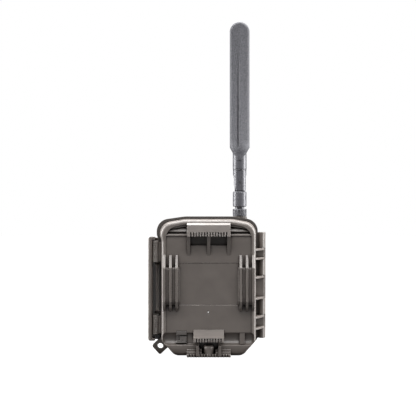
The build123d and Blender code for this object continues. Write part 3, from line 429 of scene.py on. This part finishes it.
def blade():
    """The paddle: a ridge between two sloping faces, a round crown, a pointed foot and a deepening crease."""
    low, high = box_mm("antenna_paddle")
    centre_x, centre_y = (low.x + high.x) / 2, (low.y + high.y) / 2
    half_w, top, tip = (high.x - low.x) / 2, high.z, low.z
    ridge_low, ridge_high = (high.y - low.y) / 2, 4.2
    shoulder, crease_top, crease_low = 206.1, 305.0, 206.2
    crease_off, crease_deep, crease_wide = 1.2, (0.40, 0.90), (0.90, 0.90)
    edge_round, edge_thick, tip_half_w = 2.4, 2.0, 3.2
    swell_top, swell_length = shoulder + 6, 9.0

    def half_width(z):
        if z > top - half_w:
            return math.sqrt(max(0.0, half_w ** 2 - (z - top + half_w) ** 2))
        if z < shoulder:
            return tip_half_w + (half_w - tip_half_w) * (z - tip) / (shoulder - tip)
        return half_w

    def half_thick(u, z):
        width = half_width(z)
        x = u * width
        along = (z - tip) / (top - tip)
        ridge = ridge_low + (ridge_high - ridge_low) * along
        slope = edge_thick + (ridge - edge_thick) * (1 - abs(x) / half_w)
        if z < swell_top:
            blend = min(1.0, (swell_top - z) / swell_length)
            bulge = edge_thick + (ridge - edge_thick) * math.sqrt(max(0.0, 1 - (x / half_w) ** 2))
            slope += (bulge - slope) * blend
        border = width - abs(x)
        if z > top - half_w:
            border = half_w - math.hypot(x, z - top + half_w)
        share = min(1.0, max(0.0, border) / edge_round)
        rounding = math.sqrt(max(0.0, 1 - (1 - share) ** 2))
        groove = 0.0
        if crease_low < z < crease_top:
            down = (crease_top - z) / (crease_top - crease_low)
            depth = crease_deep[0] + crease_deep[1] * down
            fade = min(1.0, (z - crease_low) / 1.6) ** 0.5 * min(1.0, (crease_top - z) / 12.0)
            wide = crease_wide[0] + crease_wide[1] * down
            off = (x - crease_off) / wide
            groove = depth * fade * max(0.0, 1 - abs(off))
        return slope * rounding - groove

    foot_rows, body_rows, crown_rows, columns = 16, 70, 18, 14
    heights = [tip + (shoulder - tip) * n / foot_rows for n in range(foot_rows)]
    heights += [shoulder + (top - half_w - shoulder) * n / body_rows for n in range(body_rows)]
    heights += [top - half_w + half_w * math.sin(math.pi / 2 * n / crown_rows) for n in range(crown_rows)]
    # even columns round the section, with closer ones about the crease
    even = {round(math.sin(math.pi / 2 * n / columns), 5) for n in range(-columns, columns + 1)}
    across = sorted(even | {round(n * 0.016, 5) for n in range(-6, 22)})
    points, faces, rows = [], [], []
    for side in (1, -1):
        rings = []
        for z in heights:
            width = half_width(z)
            ring = []
            for u in across:
                ring.append(len(points))
                points.append((centre_x + side * u * width, centre_y + side * half_thick(side * u, z), z))
            rings.append(ring)
        rows.append(rings)
        crown = len(points)
        points.append((centre_x, centre_y, top))
        for a, b in zip(rings, rings[1:]):
            for n in range(len(across) - 1):
                faces.append((a[n], a[n + 1], b[n + 1], b[n]))
        for n in range(len(across) - 1):
            faces.append((rings[-1][n], rings[-1][n + 1], crown))
    foot_front, foot_back = rows[0][0], rows[1][0]
    faces.append(tuple(foot_front) + tuple(foot_back))
    return mesh_of("antenna_blade", points, faces)


piece("antenna_blade", blade(), "antenna_grain", "paddle", ("antenna_paddle",), smooth=50.0)


# Motion lens

def lathe_rings(points, faces, profile, segments, centre):
    """Adds the surface that a closed (radius, depth) profile sweeps about a line along Y."""
    start = len(points)
    for radius, depth in profile:
        for n in range(segments):
            angle = 2 * math.pi * n / segments
            points.append((centre[0] + radius * math.cos(angle), depth, centre[1] + radius * math.sin(angle)))
    for k in range(len(profile)):
        a, b = start + k * segments, start + (k + 1) % len(profile) * segments
        for n in range(segments):
            faces.append((a + n, a + (n + 1) % segments, b + (n + 1) % segments, b + n))


def facet_relief(radius, angle, rings, counts):
    """How deep the motion lens is cut at one place: seams between its facets and fine ridges inside each."""
    band = next((n for n, edge in enumerate(rings) if radius <= edge), len(rings) - 1)
    inner = rings[band - 1] if band else 0.0
    middle = (inner + rings[band]) / 2 if band else 0.0
    seam_half_w, seam_depth, ridge_depth, ridge_pitch = 0.32, 0.42, 0.10, 1.15
    step = 2 * math.pi / counts[band]
    off = (angle / step) % 1.0 - 0.5
    to_seam = min(abs(radius - edge) for edge in rings[:-1])
    away = radius
    if band:
        to_seam = min(to_seam, (0.5 - abs(off)) * step * radius)
        away = math.hypot(radius - middle, off * step * radius)
    seam = max(0.0, 1 - to_seam / seam_half_w)
    return seam_depth * seam + ridge_depth * (1 + math.cos(2 * math.pi * away / ridge_pitch)) / 2


def motion_dome():
    """The milky dome with its many small lenses, and the flange that holds it."""
    low, high = box_mm("pir_lens")
    x, z = (low.x + high.x) / 2, (low.z + high.z) / 2
    centre_y, outer_r, inner_r, rim_r = -52.0, 19.0, 17.8, 13.7
    rings, counts = (3.4, 7.0, 10.4, 13.7), (1, 6, 12, 18)
    steps, segments = 56, 216
    points, faces = [(x, centre_y - outer_r + 0.05, z)], []
    for k in range(1, steps + 1):
        radius = rim_r * k / steps
        for n in range(segments):
            angle = 2 * math.pi * n / segments
            depth = 0.0 if k == steps else facet_relief(radius, angle, rings, counts)
            y = centre_y - math.sqrt(outer_r ** 2 - radius ** 2) + depth
            points.append((x + radius * math.cos(angle), y, z + radius * math.sin(angle)))
    for n in range(segments):
        faces.append((0, 1 + n, 1 + (n + 1) % segments))
    for k in range(steps - 1):
        a, b = 1 + k * segments, 1 + (k + 1) * segments
        for n in range(segments):
            faces.append((a + n, b + n, b + (n + 1) % segments, a + (n + 1) % segments))
    last = 1 + (steps - 1) * segments
    flange_y, flange_r, mouth_r = high.y - 1.4, high.x - x, 13.0
    inside = [(rim_r, flange_y), (flange_r, flange_y), (flange_r, high.y), (mouth_r, high.y)]
    inside += [(r, centre_y - math.sqrt(inner_r ** 2 - r * r)) for r in (12.6, 11.0, 9.0, 7.0, 5.0, 3.0, 1.0)]
    start = len(points)
    for radius, depth in inside:
        for n in range(segments):
            angle = 2 * math.pi * n / segments
            points.append((x + radius * math.cos(angle), depth, z + radius * math.sin(angle)))
    chain = [last] + [start + k * segments for k in range(len(inside))]
    for a, b in zip(chain, chain[1:]):
        for n in range(segments):
            faces.append((a + n, b + n, b + (n + 1) % segments, a + (n + 1) % segments))
    faces.append(tuple(range(chain[-1], chain[-1] + segments)))
    return mesh_of("motion_dome", points, faces)


def lens_glass():
    """The domed front element of the camera's lens."""
    x, z, rim_y, reach, bulge = 0.0, 78.0, -58.45, 4.5, 1.0
    steps, segments, core_r = 10, 64, 0.02
    arc = [math.pi / 2 * k / steps for k in range(steps)]
    profile = [(reach * math.cos(angle), rim_y - bulge * math.sin(angle)) for angle in arc]
    points, faces = [], []
    lathe_rings(points, faces, profile + [(core_r, rim_y - bulge), (core_r, rim_y)], segments, (x, z))
    return mesh_of("lens_glass", points, faces)


def key_mark(node, turn):
    """A small raised arrow on a direction key."""
    low, high = box_mm(node)
    x, z = (low.x + high.x) / 2, (low.z + high.z) / 2
    corners = [(0.0, 1.5), (-1.3, -0.8), (1.3, -0.8)]
    outline = []
    for a, b in zip(corners, corners[1:] + corners[:1]):
        for share in (0.12, 0.88):
            outline.append((a[0] + (b[0] - a[0]) * share, a[1] + (b[1] - a[1]) * share))
    points, count = [], len(outline)
    for grow, y in ((1.0, high.y - 0.05), (1.0, high.y + 0.08), (0.86, high.y + 0.14)):
        for u, v in outline:
            across = u * math.cos(turn) - v * math.sin(turn)
            along = u * math.sin(turn) + v * math.cos(turn)
            points.append((x + across * grow, y, z + along * grow))
    faces = [tuple(range(count)), tuple(range(2 * count, 3 * count))]
    for k in (0, count):
        for n in range(count):
            after = (n + 1) % count
            faces.append((k + n, k + after, k + count + after, k + count + n))
    return mesh_of(node + "_mark", points, faces)


piece("motion_dome", motion_dome(), "milky_lens", "front_half", ("pir_lens",), smooth=60.0)
piece("lens_glass", lens_glass(), "screen_glass", "front_half", smooth=50.0)
for way, turn in (("up", 0.0), ("left", -math.pi / 2), ("down", math.pi), ("right", math.pi / 2)):
    piece("key_mark_" + way, key_mark("button_" + way, turn), "sim_plastic", "key_" + way, smooth=20.0)


# Stage

# The room's brightness: where it changes along a direction's own axis, and its two levels
ROOM_SIDE = (0.45, 0.95, 0.75, 1.5)
ROOM_HEIGHT = (-0.15, 0.75, 0.15, 1.2)
ROOM_AHEAD = (-0.95, -0.45, 0.35, 1.0)
ROOM_FACING = (0.30, 0.85, 1.10, 0.92)

# The soft lights: name, place, what each points at, its width and height, and its power in watts
SOFTBOXES = (
    ("overhead", (-0.05, -0.26, 1.05), (0, 0, 0.1), (1.4, 0.6), 28.0),
    ("over_viewer", (0.05, 0.62, 1.08), (0, 0, 0.08), (1.2, 0.5), 10.0),
    ("right_side", (-1.0, -0.08, 0.42), (0, 0, 0.10), (0.6, 0.9), 21.0),
    ("left_side", (1.0, -0.08, 0.42), (0, 0, 0.10), (0.6, 0.9), 19.0),
)

CAMERA_PLACE = (0.0007, 1.406, 0.145)
CAMERA_LENS, CAMERA_SENSOR = 124.3, 36.0
FLOOR_RADIUS, FLOOR_DROP, FLOOR_GLOW = 6.0, 0.0002, 0.96


def floor():
    """A large pale disc under the object."""
    work = bmesh.new()
    bmesh.ops.create_circle(work, cap_ends=True, segments=96, radius=FLOOR_RADIUS)
    mesh = bpy.data.meshes.new("floor")
    work.to_mesh(mesh)
    work.free()
    s = Surface("floor_paper")
    seen = s.nodes.new("ShaderNodeLightPath").outputs["Is Camera Ray"]
    s.set(
        Base_Color=s.mix(s.span(s.noise(300.0), 0.3, 0.7), (0.06, 0.06, 0.06, 1), (0.08, 0.08, 0.08, 1)),
        Roughness=0.9,
        Emission_Color=(1, 1, 1, 1),
        Emission_Strength=s.math("MULTIPLY", seen, FLOOR_GLOW),
    )
    mesh.materials.append(s.material)
    obj = bpy.data.objects.new("floor", mesh)
    obj.location.z = CAD_BOX[0].z - FLOOR_DROP
    bpy.context.scene.collection.objects.link(obj)


def softbox(name, place, aim, size, power):
    """One large area light aimed at a point."""
    light = bpy.data.lights.new(name, "AREA")
    light.shape = "RECTANGLE"
    light.size, light.size_y = size
    light.energy = power
    obj = bpy.data.objects.new(name, light)
    obj.location = place
    obj.rotation_euler = (Vector(aim) - Vector(place)).to_track_quat("-Z", "Y").to_euler()
    bpy.context.scene.collection.objects.link(obj)


def surroundings():
    """A white room: bright beside the object, dimmer ahead and behind, dark below, white in the picture."""
    world = bpy.data.worlds.new("studio")
    world.use_nodes = True
    nodes, links = world.node_tree.nodes, world.node_tree.links
    nodes.clear()

    def ranged(value, low, high, out_low, out_high):
        node = nodes.new("ShaderNodeMapRange")
        links.new(value, node.inputs["Value"])
        for socket, given in zip(RANGE_SOCKETS, (low, high, out_low, out_high)):
            node.inputs[socket].default_value = given
        return node.outputs["Result"]

    def joined(kind, a, b=0.0):
        node = nodes.new("ShaderNodeMath")
        node.operation = kind
        links.new(a, node.inputs[0])
        if isinstance(b, float):
            node.inputs[1].default_value = b
        else:
            links.new(b, node.inputs[1])
        return node.outputs[0]

    out = nodes.new("ShaderNodeOutputWorld")
    room = nodes.new("ShaderNodeBackground")
    paper = nodes.new("ShaderNodeBackground")
    choose = nodes.new("ShaderNodeMixShader")
    path = nodes.new("ShaderNodeLightPath")
    split = nodes.new("ShaderNodeSeparateXYZ")
    links.new(nodes.new("ShaderNodeTexCoord").outputs["Generated"], split.inputs[0])
    beside = ranged(joined("ABSOLUTE", split.outputs["X"]), *ROOM_SIDE)
    height = ranged(split.outputs["Z"], *ROOM_HEIGHT)
    facing = ranged(split.outputs["Y"], *ROOM_FACING)
    ahead = ranged(split.outputs["Y"], *ROOM_AHEAD)
    around = joined("MULTIPLY", joined("MULTIPLY", beside, height), joined("MULTIPLY", facing, ahead))
    links.new(around, room.inputs["Strength"])
    paper.inputs["Strength"].default_value = 1.0
    paper.inputs["Color"].default_value = (1, 1, 1, 1)
    room.inputs["Color"].default_value = (1, 1, 1, 1)
    links.new(path.outputs["Is Camera Ray"], choose.inputs[0])
    links.new(room.outputs[0], choose.inputs[1])
    links.new(paper.outputs[0], choose.inputs[2])
    links.new(choose.outputs[0], out.inputs["Surface"])
    bpy.context.scene.world = world


def camera():
    """Level, square to the back, through a long lens."""
    data = bpy.data.cameras.new("view")
    data.lens, data.sensor_width = CAMERA_LENS, CAMERA_SENSOR
    obj = bpy.data.objects.new("view", data)
    obj.location = CAMERA_PLACE
    obj.rotation_euler = (math.radians(90), 0, math.radians(180))
    bpy.context.scene.collection.objects.link(obj)
    bpy.context.scene.camera = obj


floor()
surroundings()
for soft_light in SOFTBOXES:
    softbox(*soft_light)
camera()
bpy.context.scene.view_settings.view_transform = "Standard"
